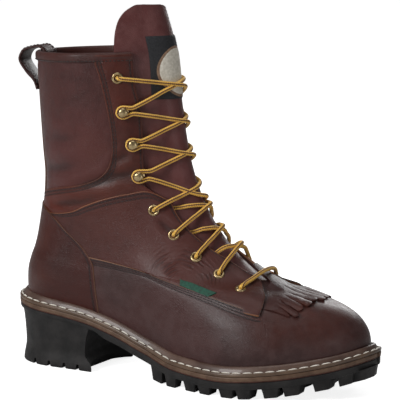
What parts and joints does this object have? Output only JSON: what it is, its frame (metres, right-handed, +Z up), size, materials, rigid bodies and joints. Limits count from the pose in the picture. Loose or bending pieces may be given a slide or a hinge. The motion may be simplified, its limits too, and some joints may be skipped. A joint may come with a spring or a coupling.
{
  "type": "logger boot",
  "caption": "Tall lace-up leather work boot with a stitched welt, lugged rubber sole, high block heel, speed hooks and a fringed kiltie.",
  "frame": {"origin": "on the floor, at the centre of the heel's foot", "axes": "+X to the toe, +Y to the inner (medial) side, +Z up"},
  "size_m": [0.3096, 0.1169, 0.2883],
  "materials": {
    "shaft_leather": "oiled, dark reddish brown",
    "quarter_leather": "oiled, dark brown with red in it",
    "eyestay_leather": "oiled, redder brown",
    "vamp_leather": "oiled, greyer dark brown with a soft sheen",
    "kiltie_leather": "oiled, dark brown, cut edges",
    "counter_leather": "oiled, dark reddish brown",
    "trim_leather": "oiled, dark brown",
    "tongue_leather": "soft, dark brown",
    "label": "woven, near black",
    "tag": "woven, green",
    "insole": "plain tan",
    "welt": "greyish tan strip, cream stitching",
    "midsole": "tan brown edge",
    "rubber": "near black, matt",
    "lace": "round, golden yellow with a brown line",
    "brass": "pale brass"
  },
  "bodies": {
    "root": {"upper": "shaft_leather", "quarter_outer": "quarter_leather", "quarter_inner": "quarter_leather", "eyestay_outer": "eyestay_leather", "eyestay_inner": "eyestay_leather", "vamp": "vamp_leather", "kiltie": "kiltie_leather", "counter": "counter_leather", "back_stay": "trim_leather", "collar_binding": "trim_leather", "pull_loop": "trim_leather", "tongue": "tongue_leather", "tongue_label": "label", "side_tag": "tag", "insole": "insole", "welt": "welt", "midsole": "midsole", "outsole": "rubber", "heel": "rubber", "lace_bar": "lace", "lace_cross_1": "lace", "lace_cross_2": "lace", "lace_cross_3": "lace", "lace_top": "lace", "eyelet_1_outer": "brass", "eyelet_1_inner": "brass", "eyelet_2_outer": "brass", "eyelet_2_inner": "brass", "eyelet_3_outer": "brass", "eyelet_3_inner": "brass", "eyelet_4_outer": "brass", "eyelet_4_inner": "brass", "eyelet_5_outer": "brass", "eyelet_5_inner": "brass", "eyelet_6_outer": "brass", "eyelet_6_inner": "brass", "hook_1_outer": "brass", "hook_1_inner": "brass", "hook_2_outer": "brass", "hook_2_inner": "brass", "hook_3_outer": "brass", "hook_3_inner": "brass"}
  },
  "joints": []
}
